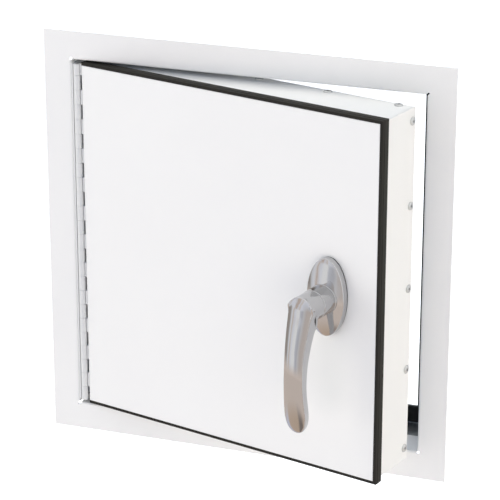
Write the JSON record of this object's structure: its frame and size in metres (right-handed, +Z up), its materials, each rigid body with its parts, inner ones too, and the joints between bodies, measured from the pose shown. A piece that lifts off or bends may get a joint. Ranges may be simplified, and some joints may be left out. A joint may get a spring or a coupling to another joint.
{
  "type": "insulated access door",
  "caption": "Square insulated access door hung on a piano hinge in a flanged wall frame, with rubber edge seal, foam stop seal and a lever that turns a cam latch.",
  "frame": {"origin": "centre of the frame's opening, on the wall plane that the back of the flange rests on", "axes": "+X right seen from the front, +Y into the wall, +Z up; the door stands 14.5 degrees open"},
  "size_m": [0.3506, 0.1769, 0.3564],
  "materials": {
    "white_powder_coat": "semi-gloss white powder coat on steel sheet",
    "hinge_coat": "white powder coat on a steel continuous hinge",
    "galvanised_sheet": "dull galvanised steel sheet",
    "rivet_metal": "plain steel rivets",
    "zinc_plate": "bright zinc-plated steel",
    "pin_steel": "drawn steel wire",
    "screw_metal": "zinc-plated steel screws",
    "foam_seal": "black closed-cell foam",
    "gasket_rubber": "charcoal extruded rubber, satin",
    "mineral_wool": "matt pressed mineral wool",
    "cast_zinc": "as-cast zinc alloy",
    "polished_chrome": "polished chrome plate on cast zinc",
    "nylon": "black moulded nylon"
  },
  "bodies": {
    "wall_frame": {"flange_frame": "white_powder_coat", "stop_sill": "galvanised_sheet", "stop_hinge_jamb": "galvanised_sheet", "stop_head": "galvanised_sheet", "stop_latch_jamb": "galvanised_sheet", "stop_rivets": "rivet_metal", "stop_seal": "foam_seal", "strike_plate": "zinc_plate", "hinge_frame_leaf": "hinge_coat", "hinge_frame_rivets": "rivet_metal", "hinge_pin": "pin_steel"},
    "door": {"hinge_door_leaf": "hinge_coat", "hinge_door_rivets": "rivet_metal", "door_pan": "white_powder_coat", "edge_gasket": "gasket_rubber", "insulation_slab": "mineral_wool", "back_cover": "white_powder_coat", "cover_screws": "screw_metal", "latch_plate": "zinc_plate", "rose_seal": "gasket_rubber", "rose_base": "cast_zinc", "rose_cover": "polished_chrome", "rose_collar": "polished_chrome", "rose_screws": "screw_metal", "lever_bush": "nylon", "spindle_sleeve": "zinc_plate", "rear_bush": "nylon"},
    "handle": {"lever": "polished_chrome", "grub_screw": "screw_metal", "spindle": "zinc_plate", "cam": "zinc_plate", "cam_washer": "zinc_plate", "cam_screw": "screw_metal"}
  },
  "joints": [
    {"name": "door_swing", "type": "hinge", "parent": "wall_frame", "child": "door", "pos_m": [-0.1463, -0.0015, 0], "axis": [0, 0, -1], "range_deg": [-14.5, 135.5]},
    {"name": "handle_turn", "type": "hinge", "parent": "door", "child": "handle", "pos_m": [0.09264, -0.06329, 0.0012], "axis": [0.2504, 0.9681, 0], "range_deg": [0, 90]}
  ]
}
